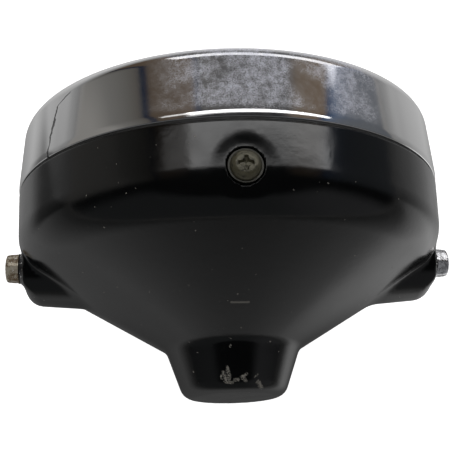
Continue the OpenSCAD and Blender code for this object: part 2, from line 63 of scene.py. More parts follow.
# Shapes are worked out in millimetres, with y as the distance behind the rim's front plane
MM = 0.001
ORIGIN_Y = -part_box("rim")[0][1] / MM
RIM_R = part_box("rim")[1][0] / MM
RIM_LEN = (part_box("rim")[1][1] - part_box("rim")[0][1]) / MM
TAIL_END_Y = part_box("shell")[1][1] / MM + ORIGIN_Y
LENS_APEX_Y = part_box("lens")[0][1] / MM + ORIGIN_Y
BOLT_Y = (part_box("bolt_left")[0][1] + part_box("bolt_left")[1][1]) / 2 / MM + ORIGIN_Y
SEAT_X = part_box("washer_left")[0][0] / MM
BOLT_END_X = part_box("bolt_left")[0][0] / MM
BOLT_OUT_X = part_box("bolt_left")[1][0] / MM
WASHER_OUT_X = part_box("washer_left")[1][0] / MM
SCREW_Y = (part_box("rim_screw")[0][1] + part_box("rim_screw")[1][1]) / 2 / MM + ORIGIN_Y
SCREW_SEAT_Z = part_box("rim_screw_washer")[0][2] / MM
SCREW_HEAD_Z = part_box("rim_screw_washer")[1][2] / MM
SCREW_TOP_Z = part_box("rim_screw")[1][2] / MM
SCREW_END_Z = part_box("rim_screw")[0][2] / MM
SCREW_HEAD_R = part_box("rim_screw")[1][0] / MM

# The camera that the photograph's outline was fitted with
CAMERA_PLACE = Vector((0.0296, 0.1156, 0.3943))
CAMERA_AIM = Vector((0.0023, -0.0097, 0.0154))
CAMERA_TOP = Vector((-0.0105, -0.9491, 0.3149))
CAMERA_LENS = 71.7
SENSOR = 36.0


# Outlines

def rounded(corners, step=3.0):
    """The points of an open line of corners (u, v, radius), with each corner rounded."""
    points = []
    for i, (u, v, radius) in enumerate(corners):
        b = Vector((u, v))
        if radius <= 0 or i in (0, len(corners) - 1):
            points.append(b)
            continue
        centre, first, last = corner_arc(corners, i)
        turn = math.atan2(first.x * last.y - first.y * last.x, first.dot(last))
        start = math.atan2(first.y, first.x)
        count = max(2, math.ceil(abs(math.degrees(turn)) / step))
        for k in range(count + 1):
            angle = start + turn * k / count
            points.append(centre + radius * Vector((math.cos(angle), math.sin(angle))))
    return [(p.x, p.y) for p in points]


def corner_arc(corners, i):
    """The centre of the arc that rounds corner i, and its two ends seen from that centre."""
    a, b, c = (Vector(corners[k][:2]) for k in (i - 1, i, i + 1))
    radius = corners[i][2]
    before, after = (a - b).normalized(), (c - b).normalized()
    half = before.angle(after) / 2
    centre = b + (before + after).normalized() * radius / math.sin(half)
    reach = radius / math.tan(half)
    return centre, b + before * reach - centre, b + after * reach - centre


def thick_outline(corners, thickness):
    """The closed outline of a sheet on the left of a line of corners."""
    moved = []
    last = len(corners) - 1
    for i, (u, v, radius) in enumerate(corners):
        before = left_normal(corners[max(i - 1, 0)], corners[max(i, 1)])
        after = left_normal(corners[min(i, last - 1)], corners[min(i + 1, last)])
        shift = (before + after) * thickness / (1 + before.dot(after))
        side = math.copysign(1, before.x * after.y - before.y * after.x)
        inner = max(radius - thickness * side, 0) if radius > 0 else 0
        moved.append((u + shift.x, v + shift.y, inner))
    return rounded(corners) + rounded(moved)[::-1]


def left_normal(a, b):
    """The direction to the left of the way from a to b."""
    along = (Vector(b[:2]) - Vector(a[:2])).normalized()
    return Vector((-along.y, along.x))


# Meshes

MATERIALS = {}
MERGE_M = 1e-7


def add_piece(name, verts, faces, node, slot, normals=None, sharp=35.0):
    """Makes a mesh from millimetre points, rides it on the root body in place of a node.

    Without normals it is merged, turned outwards and smoothed up to edges of sharp degrees.
    """
    mesh = bpy.data.meshes.new(name)
    mesh.from_pydata([tuple(c * MM for c in v) for v in verts], [], faces)
    if normals is None:
        clean(mesh)
    mesh.polygons.foreach_set("use_smooth", [True] * len(mesh.polygons))
    if normals is None:
        mesh.set_sharp_from_angle(angle=math.radians(sharp))
    else:
        mesh.normals_split_custom_set_from_vertices([tuple(n) for n in normals])
    piece = bpy.data.objects.new(name, mesh)
    bpy.context.scene.collection.objects.link(piece)
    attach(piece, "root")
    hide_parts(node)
    mesh.materials.append(MATERIALS[slot])


def clean(mesh):
    """Merges points that coincide and turns all faces outwards."""
    cleaner = bmesh.new()
    cleaner.from_mesh(mesh)
    bmesh.ops.remove_doubles(cleaner, verts=cleaner.verts, dist=MERGE_M)
    bmesh.ops.dissolve_degenerate(cleaner, edges=cleaner.edges, dist=MERGE_M)
    bmesh.ops.recalc_face_normals(cleaner, faces=cleaner.faces)
    cleaner.to_mesh(mesh)
    cleaner.free()


def wall_faces(segments, count, closed=False):
    """Quads between neighbouring columns of count points, all the way round."""
    faces = []
    for k in range(segments):
        here, there = k * count, (k + 1) % segments * count
        for i in range(count if closed else count - 1):
            j = (i + 1) % count
            faces.append((here + i, here + j, there + j, there + i))
    return faces


def capped_faces(segments, count):
    """Wall faces with a fan at each end, to the two poles that follow the columns."""
    faces = wall_faces(segments, count)
    first_pole = segments * count
    for k in range(segments):
        here, there = k * count, (k + 1) % segments * count
        faces.append((first_pole, here, there))
        faces.append((here + count - 1, first_pole + 1, there + count - 1))
    return faces


def around(segments):
    """The sine and cosine of each segment's angle."""
    for k in range(segments):
        angle = 2 * math.pi * k / segments
        yield math.sin(angle), math.cos(angle)


def lathe(outline, segments, place):
    """Turns a closed outline of (radius, height) into points placed by place(x, y, height)."""
    verts = [place(r * s, r * c, h) for s, c in around(segments) for r, h in outline]
    return verts, wall_faces(segments, len(outline), closed=True)


def on_lamp_axis(x, z, y):
    """A point given across and along the lamp's axis."""
    return x, y - ORIGIN_Y, z


def on_screw_axis(x, y, z):
    """A point given across the rim screw's axis and by its height."""
    return x, SCREW_Y - ORIGIN_Y + y, z


def on_bolt_axis(side):
    """Places points given across and along an ear bolt: side is 1 at the left, -1 at the right."""
    return lambda y, z, x: (side * x, BOLT_Y - ORIGIN_Y + y, z)


# The shell as a distance field: negative inside the plastic, in millimetres

SHELL_R = RIM_R - 0.2
SHELL_WALL = 3.0
SHELL_FRONT_Y = RIM_LEN + 0.9
FRONT_EDGE = 0.9
BARREL_BEND = 400
SHOULDER_Y = BOLT_Y
SHOULDER_R = SHELL_R - 0.6
SHOULDER_BEND = 21
CONE_ANGLE = math.radians(59)
TAIL_R = 29.5
TAIL_END_R = 22.0
TAIL_BEND = 6
TAIL_Y = SHOULDER_Y + (SHOULDER_R - TAIL_R) / math.tan(CONE_ANGLE)
PAST_AXIS = -60
SHELL_LINE = [
    (SHELL_R, -RIM_LEN, 0),
    (SHELL_R, SHELL_FRONT_Y, BARREL_BEND),
    (SHOULDER_R, SHOULDER_Y, SHOULDER_BEND),
    (TAIL_R, TAIL_Y, TAIL_BEND),
    (TAIL_END_R, TAIL_END_Y, TAIL_BEND),
    (PAST_AXIS, TAIL_END_Y, 0)]
CAVITY_EDGE = 0.4

# The spigot in the rim, the ring that joins it to the shell, and the pad under the rim screw
RETURN_R = RIM_R - 3.6
SPIGOT_R = RETURN_R - 0.3
SPIGOT_Y = RIM_LEN - 4
JOIN_END_Y = SHELL_FRONT_Y + 4
JOIN_R = SHELL_R - 6
JOIN_TOP_R = SHELL_R - 1
STRAP_W = 16.0
PAD_Z = SHELL_R - 7.7
PAD_TOP_Z = SHELL_R - 1.3

BOSS_R = 16.5
BOSS_DRAFT = math.radians(4.5)
BOSS_ROOT_X = 40.0
BOSS_FILLET = 1.8
BOSS_FRONT_ROUND = 1.3
BOSS_BACK_ROUND = 7.4
BOSS_BACK = (0.55, 1.0)
BOSS_HOLLOW_R = 14.0
SEAT_R = 13.0
SEAT_WALL = 5.0
SEAT_FILLET = 0.5
BOLT_HOLE_R = 4.25

# A shallow dish around the rim screw, with a pocket for its washer in it
DIMPLE_R = 7.4
DIMPLE_WALL = 0.9
DIMPLE_TOP_R = 13.5
DIMPLE_H = 0.35
DIMPLE_Z = SHELL_R - 8
SCREW_HOLE_R = 3.3

# The cable entry in the cone below
CABLE_DROP = SHOULDER_R - 36.0
CABLE_Y = SHOULDER_Y + (SHOULDER_R - CABLE_DROP) / math.tan(CONE_ANGLE)
CABLE_HOLE_R = 11.0
CABLE_PAD_R = 15.0
CABLE_PAD_H = 1.5
CABLE_PAD_FILLET = 1.0
CABLE_POCKET_R = CABLE_PAD_R - 1
CABLE_POCKET = (-10.5, -1.5)
CABLE_REACH = 12
FAR = 1e3


def line_field(corners, u, v):
    """Signed distance from a smooth line of corners, positive on its left side."""
    best = np.full(u.shape, np.inf)
    signed = np.zeros(u.shape)
    for gap, counts in line_parts(corners, u, v):
        nearer = counts & (np.abs(gap) < best)
        best = np.where(nearer, np.abs(gap), best)
        signed = np.where(nearer, gap, signed)
    return signed


def line_parts(corners, u, v):
    """The signed distance from each straight and arc of a line, and where that part counts."""
    end = Vector(corners[0][:2])
    last_corner = len(corners) - 1
    for i, corner in enumerate(corners[1:], 1):
        if i == last_corner or corner[2] <= 0:
            yield straight_gap(end, Vector(corner[:2]), u, v), True
            end = Vector(corner[:2])
            continue
        centre, first, last = corner_arc(corners, i)
        yield straight_gap(end, centre + first, u, v), True
        yield arc_gap(centre, first, last, corner[2], u, v)
        end = centre + last


def straight_gap(a, b, u, v):
    """Signed distance from the straight from a to b, positive on its left side."""
    along = (b - a).normalized()
    du, dv = u - a.x, v - a.y
    t = np.clip(du * along.x + dv * along.y, 0, (b - a).length)
    gap = np.hypot(du - t * along.x, dv - t * along.y)
    return np.where(dv * along.x - du * along.y >= 0, gap, -gap)


def arc_gap(centre, first, last, radius, u, v):
    """Signed distance from an arc's circle, and which points face the arc."""
    du, dv = u - centre.x, v - centre.y
    reach = np.hypot(du, dv)
    middle = (first + last).normalized()
    facing = (du * middle.x + dv * middle.y) >= reach * middle.dot(first.normalized())
    side = math.copysign(1, first.x * last.y - first.y * last.x)
    return side * (radius - reach), facing


def smooth_step(low, high, value):
    """0 below low, 1 above high, and a smooth rise between them."""
    t = np.clip((value - low) / (high - low), 0, 1)
    return t * t * (3 - 2 * t)


def smooth_union(a, b, k):
    """The solids a and b, with a fillet about k wide where they meet."""
    h = np.maximum(k - np.abs(a - b), 0) / k
    return np.minimum(a, b) - h * h * k / 4


def smooth_cut(a, b, k):
    """The solid a with b cut away, and with its new edges rounded by about k."""
    return -smooth_union(-a, b, k)


def slab(value, low, high):
    """Signed distance from the space where value lies between low and high."""
    return np.abs(value - (low + high) / 2) - (high - low) / 2


def shell_field(x, y, z):
    """The whole shell: its outside, its cavity, its front end, its dimple, seats and holes."""
    r, across = np.hypot(x, z), np.abs(x)
    bolt_rho, screw_rho = np.hypot(y - BOLT_Y, z), np.hypot(x, y - SCREW_Y)
    cable_along, cable_rho = cable_coordinates(x, y, z)
    body = -line_field(SHELL_LINE, r, y)
    pad = np.maximum(cable_rho - CABLE_PAD_R, slab(cable_along, -CABLE_PAD_H, CABLE_PAD_H))
    field = smooth_union(body, boss_field(across, bolt_rho, y - BOLT_Y), BOSS_FILLET)
    field = smooth_union(field, pad, CABLE_PAD_FILLET)
    cavity = cavity_field(body, across, bolt_rho, cable_along, cable_rho)
    field = smooth_cut(field, cavity, CAVITY_EDGE)
    field = smooth_cut(field, y - SHELL_FRONT_Y, FRONT_EDGE)
    field = np.minimum(field, front_field(r, y, z, screw_rho))
    dished = (z > DIMPLE_Z) & (screw_rho < DIMPLE_TOP_R)
    field = np.where(dished, np.maximum(field, body + dimple_depth(screw_rho)), field)
    field = smooth_cut(field, np.maximum(bolt_rho - SEAT_R, SEAT_X - across), SEAT_FILLET)
    bolt_holes = bolt_rho - BOLT_HOLE_R + FAR * (across < BOSS_ROOT_X)
    screw_hole = screw_rho - SCREW_HOLE_R + FAR * (z < 0)
    holes = np.minimum(np.minimum(bolt_holes, cable_rho - CABLE_HOLE_R), screw_hole)
    return np.maximum(field, -holes)


def cavity_field(body, across, bolt_rho, cable_along, cable_rho):
    """What is hollow: the shell within its wall, both bosses and the pad of the cable entry."""
    boss = np.maximum(bolt_rho - BOSS_HOLLOW_R, slab(across, BOSS_ROOT_X, SEAT_X - SEAT_WALL))
    pocket = np.maximum(cable_rho - CABLE_POCKET_R, slab(cable_along, *CABLE_POCKET))
    return np.minimum(np.minimum(body + SHELL_WALL, boss), pocket)


def front_field(r, y, z, screw_rho):
    """The spigot, the ring that joins it to the shell, and the pad under the rim screw."""
    spigot = np.maximum(slab(r, SPIGOT_R - SHELL_WALL, SPIGOT_R), slab(y, SPIGOT_Y, JOIN_END_Y))
    join = np.maximum(slab(r, JOIN_R, JOIN_TOP_R), slab(y, SHELL_FRONT_Y, JOIN_END_Y))
    pad = np.maximum(screw_rho - STRAP_W / 2, slab(z, PAD_Z, PAD_TOP_Z))
    return np.minimum(np.minimum(spigot, join), pad)


def dimple_depth(screw_rho):
    """How far the surface is sunk around the rim screw."""
    dish = 1 - smooth_step(DIMPLE_R, DIMPLE_TOP_R, screw_rho)
    pocket = 1 - smooth_step(DIMPLE_R - DIMPLE_WALL, DIMPLE_R, screw_rho)
    return DIMPLE_H * dish + (SHELL_R - SCREW_SEAT_Z - DIMPLE_H) * pocket


def boss_field(across, rho, behind):
    """A tapered boss, whose end is rounded more at the lamp's back than elsewhere."""
    side = (rho - BOSS_R - (SEAT_X - across) * math.tan(BOSS_DRAFT)) * math.cos(BOSS_DRAFT)
    end = across - SEAT_X
    back = smooth_step(*BOSS_BACK, behind / np.maximum(rho, 1))
    radius = BOSS_FRONT_ROUND + (BOSS_BACK_ROUND - BOSS_FRONT_ROUND) * back
    u, v = np.maximum(side + radius, 0), np.maximum(end + radius, 0)
    field = np.hypot(u, v) - radius + np.minimum(np.maximum(side, end) + radius, 0)
    return np.maximum(field, BOSS_ROOT_X - across)


def cable_coordinates(x, y, z):
    """Height above the cone at the cable entry, and distance from that entry's axis."""
    dy, dz = y - CABLE_Y, z + CABLE_DROP
    along = dy * math.sin(CONE_ANGLE) - dz * math.cos(CONE_ANGLE)
    across = dy * math.cos(CONE_ANGLE) + dz * math.sin(CONE_ANGLE)
    return along, np.hypot(x, across) + FAR * (along < -CABLE_REACH)


# The grid that the shell's surface is found on, with bands (from, to, step) of closer lines
GRID_STEP = 1.75
GRID_MARGIN = 2.0
X_BANDS = [(0, 9.6, 0.6), (88, 93.5, 0.55)]
Y_BANDS = [(SHELL_FRONT_Y - 1.1, SHELL_FRONT_Y + 1.1, 0.4), (SCREW_Y - 9.3, SCREW_Y + 9.3, 0.6)]
Z_BANDS = [(91.5, 96, 0.5)]
CELL_CORNERS = [(i, j, k) for i in (0, 1) for j in (0, 1) for k in (0, 1)]


def graded(low, high, bands):
    """Grid lines from low to high, closer together inside each band."""
    tiny, longest = 1e-6, 1.4
    lines = [low]
    while lines[-1] < high:
        here = lines[-1]
        step = min([GRID_STEP] + [s for a, b, s in bands if a - tiny <= here < b - tiny])
        ahead = [a for a, b, s in bands if here + tiny < a < here + step * longest]
        lines.append(min(ahead) if ahead else here + step)
    return np.array(lines)


def surface_net(field, axes):
    """A quad mesh of the field's zero surface, with one point in each cell that it crosses."""
    values = field(*np.meshgrid(*axes, indexing="ij"))
    inside = values < 0
    count = sum(at_corner(inside, c).astype(np.int8) for c in CELL_CORNERS)
    mixed = (count > 0) & (count < len(CELL_CORNERS))
    index = np.full(mixed.shape, -1, dtype=np.int64)
    index[mixed] = np.arange(mixed.sum())
    return net_points(values, mixed, axes), net_faces(inside, index)


def at_corner(array, corner):
    """The array's value at one corner of every cell."""
    return array[tuple(slice(c, n - 1 + c) for c, n in zip(corner, array.shape))]


def net_points(values, mixed, axes):
    """The mean of the places where the surface crosses the edges of each mixed cell."""
    total = np.zeros((mixed.sum(), 3))
    hits = np.zeros(mixed.sum())
    for corner in CELL_CORNERS:
        for axis in range(3):
            if corner[axis]:
                continue
            other = tuple(1 if n == axis else c for n, c in enumerate(corner))
            a, b = at_corner(values, corner)[mixed], at_corner(values, other)[mixed]
            crossed = (a < 0) != (b < 0)
            share = np.where(crossed, a / np.where(crossed, a - b, 1), 0)
            for n in range(3):
                total[:, n] += np.where(crossed, corner[n] + (share if n == axis else 0), 0)
            hits += crossed
    places = np.argwhere(mixed) + total / hits[:, None]
    return np.stack([np.interp(place, np.arange(len(axis)), axis)
                     for place, axis in zip(places.T, axes)], 1)


def net_faces(inside, index):
    """A quad around each grid edge that the surface crosses."""
    faces = []
    for axis in range(3):
        before = [slice(1, n - 1) for n in inside.shape]
        before[axis] = slice(0, inside.shape[axis] - 1)
        after = list(before)
        after[axis] = slice(1, inside.shape[axis])
        a, b = inside[tuple(before)], inside[tuple(after)]
        starts = a[a != b]
        base = np.argwhere(a != b) + np.array([0 if n == axis else 1 for n in range(3)])
        u, v = (axis + 1) % 3, (axis + 2) % 3
        ring = []
        for du, dv in ((1, 1), (0, 1), (0, 0), (1, 0)):
            cell = base.copy()
            cell[:, u] -= du
            cell[:, v] -= dv
            ring.append(index[tuple(cell.T)])
        quads = np.stack(ring, axis=1)
        quads[~starts] = quads[~starts][:, ::-1]
        faces.append(quads)
    return np.concatenate(faces)


def gradient(field, points, step=0.02):
    """The field's slope at each point."""
    slopes = []
    for n in range(3):
        shift = np.zeros(3)
        shift[n] = step
        ahead, behind = points + shift, points - shift
        slopes.append((field(*ahead.T) - field(*behind.T)) / (2 * step))
    return np.stack(slopes, axis=1)


def settle(field, points, rounds=4, reach=0.6, least_slope=0.05):
    """Moves the points onto the field's zero surface, by up to reach in each round."""
    for _ in range(rounds):
        slope = gradient(field, points)
        steep = np.maximum((slope ** 2).sum(axis=1), least_slope)
        move = -field(*points.T)[:, None] * slope / steep[:, None]
        points = points + move * np.minimum(1, reach / lengths(move))
    return points


def lengths(vectors, least=1e-9):
    """The length of each vector, at least a trace above 0, as a column."""
    return np.maximum(np.linalg.norm(vectors, axis=1, keepdims=True), least)


def make_shell():
    """The shell as one mesh, whose normals come from the distance field."""
    half = graded(0, SHELL_R + GRID_MARGIN, X_BANDS)
    axes = [
        np.concatenate([-half[:0:-1], half]),
        graded(SPIGOT_Y - GRID_MARGIN / 2, TAIL_END_Y + GRID_MARGIN, Y_BANDS),
        graded(-SHELL_R - GRID_MARGIN, SHELL_R + GRID_MARGIN, Z_BANDS)]
    points, faces = surface_net(shell_field, axes)
    points = settle(shell_field, points)
    normals = gradient(shell_field, points)
    normals /= lengths(normals)
    placed = points - np.array([0, ORIGIN_Y, 0])
    add_piece("shell_skin", placed.tolist(), faces.tolist(), "shell", "black_shell", normals)


# The rim, the lens and the fasteners

RIM_SHEET = 1.0
RIM_FRONT_R = RIM_R - 2.2
RIM_SEGMENTS = 288
LENS_OPEN_R = RIM_FRONT_R - 11.3
RIM_LINE = [
    (LENS_OPEN_R, 2.4, 0),
    (LENS_OPEN_R + 2, 0, 2),
    (RIM_FRONT_R, 0, 7.5),
    (RIM_R, RIM_LEN - 2.0, 10),
    (RIM_R - 0.25, RIM_LEN, 0.5),
    (RETURN_R, RIM_LEN, 0)]


def make_rim():
    """The chromed sheet ring, with a rounded front and a rear edge that curls inwards."""
    verts, faces = lathe(thick_outline(RIM_LINE, RIM_SHEET), RIM_SEGMENTS, on_lamp_axis)
    add_piece("chrome_rim", verts, faces, "rim", "chrome_rim")


LENS_DOME_R = 300.0
LENS_T = 4.0
LENS_FRONT_Y = 5.0
LENS_BACK_Y = LENS_FRONT_Y + LENS_T
LENS_CENTRE_Y = LENS_APEX_Y + LENS_DOME_R
LENS_EDGE_R = LENS_OPEN_R - 0.3
LENS_INNER_R = LENS_EDGE_R - LENS_T
LENS_FLANGE_R = RIM_FRONT_R - RIM_SHEET - 3.3
LENS_SEGMENTS = 288
LENS_RINGS = 90
LENS_SHARP = 50.0
FLUTE_W = 8.0
FLUTE_H = 0.9


def lens_front_y(r):
    """The dome's outside."""
    return LENS_CENTRE_Y - math.sqrt(LENS_DOME_R ** 2 - r * r)


def lens_back_y(x, z):
    """The dome's inside, with the flutes on it."""
    dome = math.sqrt((LENS_DOME_R - LENS_T) ** 2 - x * x - z * z)
    return LENS_CENTRE_Y - dome + FLUTE_H * abs(math.sin(math.pi * x / FLUTE_W))


def make_lens():
    """A domed disc with a flange, a plain front and vertical flutes on its back."""
    shares = [i / LENS_RINGS for i in range(1, LENS_RINGS + 1)]
    front = [(LENS_EDGE_R * share, lens_front_y(LENS_EDGE_R * share)) for share in shares]
    flange = [(LENS_EDGE_R, LENS_FRONT_Y), (LENS_FLANGE_R, LENS_FRONT_Y),
              (LENS_FLANGE_R, LENS_BACK_Y), (LENS_INNER_R, LENS_BACK_Y)]
    back = [LENS_INNER_R * share for share in reversed(shares)]
    verts = []
    for s, c in around(LENS_SEGMENTS):
        column = front + flange + [(r, lens_back_y(r * s, r * c)) for r in back]
        verts += [on_lamp_axis(r * s, r * c, y) for r, y in column]
    faces = capped_faces(LENS_SEGMENTS, len(verts) // LENS_SEGMENTS)
    verts += [on_lamp_axis(0, 0, LENS_APEX_Y), on_lamp_axis(0, 0, lens_back_y(0, 0))]
    add_piece("fluted_glass", verts, faces, "lens", "lens_glass", sharp=LENS_SHARP)


BOLT_R = 4.0
BOLT_CHAMFER = 0.8
BOLT_SEGMENTS = 144
BOLT_SHARP = 32.0
COLLAR_R = 6.75
COLLAR_H = 0.6
COLLAR_EDGE = 0.15
HEX_FLATS_R = 6.0
HEX_TURN = math.radians(3.5)
HEX_SIDE = math.pi / 3
HEX_BLEND = 24
HEAD_SIDE = ((7.2, 0), (7.1, 0.4), (6.95, 2.4))
HEAD_EDGE = 1.5
HEAD_EDGE_POINTS = 8
HEAD_TOP_R = HEX_FLATS_R + 0.55 - HEAD_EDGE
HEAD_DISH = ((3.6, 0), (3.1, -0.25), (0, -0.25))


def bolt_outline():
    """The (radius, x) points of the shank and collar, and those of the head without its flats."""
    base_x, head_x = WASHER_OUT_X, WASHER_OUT_X + COLLAR_H
    round_part = [
        (0, BOLT_END_X), (BOLT_R - BOLT_CHAMFER, BOLT_END_X),
        (BOLT_R, BOLT_END_X + BOLT_CHAMFER), (BOLT_R, base_x),
        (COLLAR_R - COLLAR_EDGE, base_x), (COLLAR_R, base_x + COLLAR_EDGE),
        (COLLAR_R, head_x - COLLAR_EDGE), (COLLAR_R - COLLAR_EDGE, head_x)]
    head = [(r, head_x + rise) for r, rise in HEAD_SIDE]
    head += [(HEAD_TOP_R + HEAD_EDGE * math.cos(a), BOLT_OUT_X - HEAD_EDGE * (1 - math.sin(a)))
             for a in np.linspace(0, math.pi / 2, HEAD_EDGE_POINTS)]
    head += [(r, BOLT_OUT_X + dip) for r, dip in HEAD_DISH]
    return round_part, head


def hexagon_r(angle, r):
    """The radius r, held within the head's hexagon with softened corners."""
    flat = HEX_FLATS_R / math.cos((angle - HEX_TURN) % HEX_SIDE - HEX_SIDE / 2)
    return (flat ** -HEX_BLEND + r ** -HEX_BLEND) ** (-1 / HEX_BLEND) if r > 0 else 0


def make_bolt(side, name, node, slot):
    """A hexagon bolt with rounded corners, a thin collar and a plain shank."""
    round_part, head = bolt_outline()
    verts = []
    for k in range(BOLT_SEGMENTS):
        angle = 2 * math.pi * k / BOLT_SEGMENTS
        column = round_part + [(hexagon_r(angle, r), x) for r, x in head]
        verts += [on_bolt_axis(side)(r * math.sin(angle), r * math.cos(angle), x)
                  for r, x in column]
    faces = wall_faces(BOLT_SEGMENTS, len(round_part + head))
    add_piece(name, verts, faces, node, slot, sharp=BOLT_SHARP)


WASHER_R = 8.9
WASHER_TOP_R = 6.4
WASHER_RIM = 0.5
WASHER_LINE = [
    (BOLT_HOLE_R, WASHER_OUT_X, 0),
    (BOLT_HOLE_R, SEAT_X, 0),
    (WASHER_R, SEAT_X, 0.25),
    (WASHER_R - 0.1, SEAT_X + WASHER_RIM, 0.3),
    (WASHER_TOP_R, WASHER_OUT_X, 0.5),
    (BOLT_HOLE_R, WASHER_OUT_X, 0)]
WASHER_SEGMENTS = 96
WASHER_STEP = 12


def make_washer(side, name, node):
    """A black washer, thinner towards its rim."""
    outline = rounded(WASHER_LINE, WASHER_STEP)[:-1]
    verts, faces = lathe(outline, WASHER_SEGMENTS, on_bolt_axis(side))
    add_piece(name, verts, faces, node, "black_washer")


SCREW_EDGE = 2.4
SCREW_CROWN = 0.25
SCREW_FLAT_R = SCREW_HEAD_R - SCREW_EDGE
SCREW_SHANK_R = 3.0
SCREW_CHAMFER = 0.6
SCREW_SEGMENTS = 144
SCREW_RINGS = 64
SCREW_RING_POWER = 0.85
SCREW_SHARP = 28.0
SCREW_LEAST_Z = SCREW_HEAD_Z + 0.3
RECESS_H = (SCREW_TOP_Z - SCREW_HEAD_Z) * 0.62
ARM_R = SCREW_HEAD_R * 0.5
ARM_HALF_W = SCREW_HEAD_R * 0.1625
ARM_FLARE = 0.1
ARM_END_SLOPE = 0.5
ARM_SIDE_SLOPE = 0.28
ARM_RISE = 0.35
BOWL_R = ARM_R * 0.62
BOWL_SLOPE = 0.6


def screw_top_z(r):
    """The height of the domed head, without its recess."""
    top = SCREW_TOP_Z - SCREW_CROWN * (r / SCREW_HEAD_R) ** 2
    past = max(r - SCREW_FLAT_R, 0)
    return top - SCREW_EDGE + math.sqrt(max(SCREW_EDGE ** 2 - past ** 2, 0))


def cross_depth(x, y):
    """How far the cross is sunk at (x, y): 1 at its bottom, 0 outside it."""
    u, v = max(abs(x), abs(y)), min(abs(x), abs(y))
    arm = min((ARM_R - u) / ARM_END_SLOPE, (ARM_HALF_W - v * (1 + ARM_FLARE * u)) / ARM_SIDE_SLOPE)
    bowl = (BOWL_R - math.hypot(x, y)) / BOWL_SLOPE
    return max(min(max(arm, bowl), 1), 0) * (1 - ARM_RISE * u / ARM_R)


def make_screw():
    """A domed head with a cross recess sunk into it, on a plain shank."""
    radii = [SCREW_HEAD_R * (i / SCREW_RINGS) ** SCREW_RING_POWER for i in range(1, SCREW_RINGS + 1)]
    below = [(SCREW_HEAD_R, SCREW_HEAD_Z), (SCREW_SHANK_R, SCREW_HEAD_Z),
             (SCREW_SHANK_R, SCREW_END_Z + SCREW_CHAMFER),
             (SCREW_SHANK_R - SCREW_CHAMFER, SCREW_END_Z)]
    verts = []
    for s, c in around(SCREW_SEGMENTS):
        head = [(r, max(screw_top_z(r) - RECESS_H * cross_depth(r * s, r * c), SCREW_LEAST_Z))
                for r in radii]
        verts += [on_screw_axis(r * s, r * c, z) for r, z in head + below]
    faces = capped_faces(SCREW_SEGMENTS, len(verts) // SCREW_SEGMENTS)
    verts += [on_screw_axis(0, 0, SCREW_TOP_Z - RECESS_H), on_screw_axis(0, 0, SCREW_END_Z)]
    add_piece("cross_screw", verts, faces, "rim_screw", "dull_screw", sharp=SCREW_SHARP)


# Materials

STROKE_CORE = 0.3


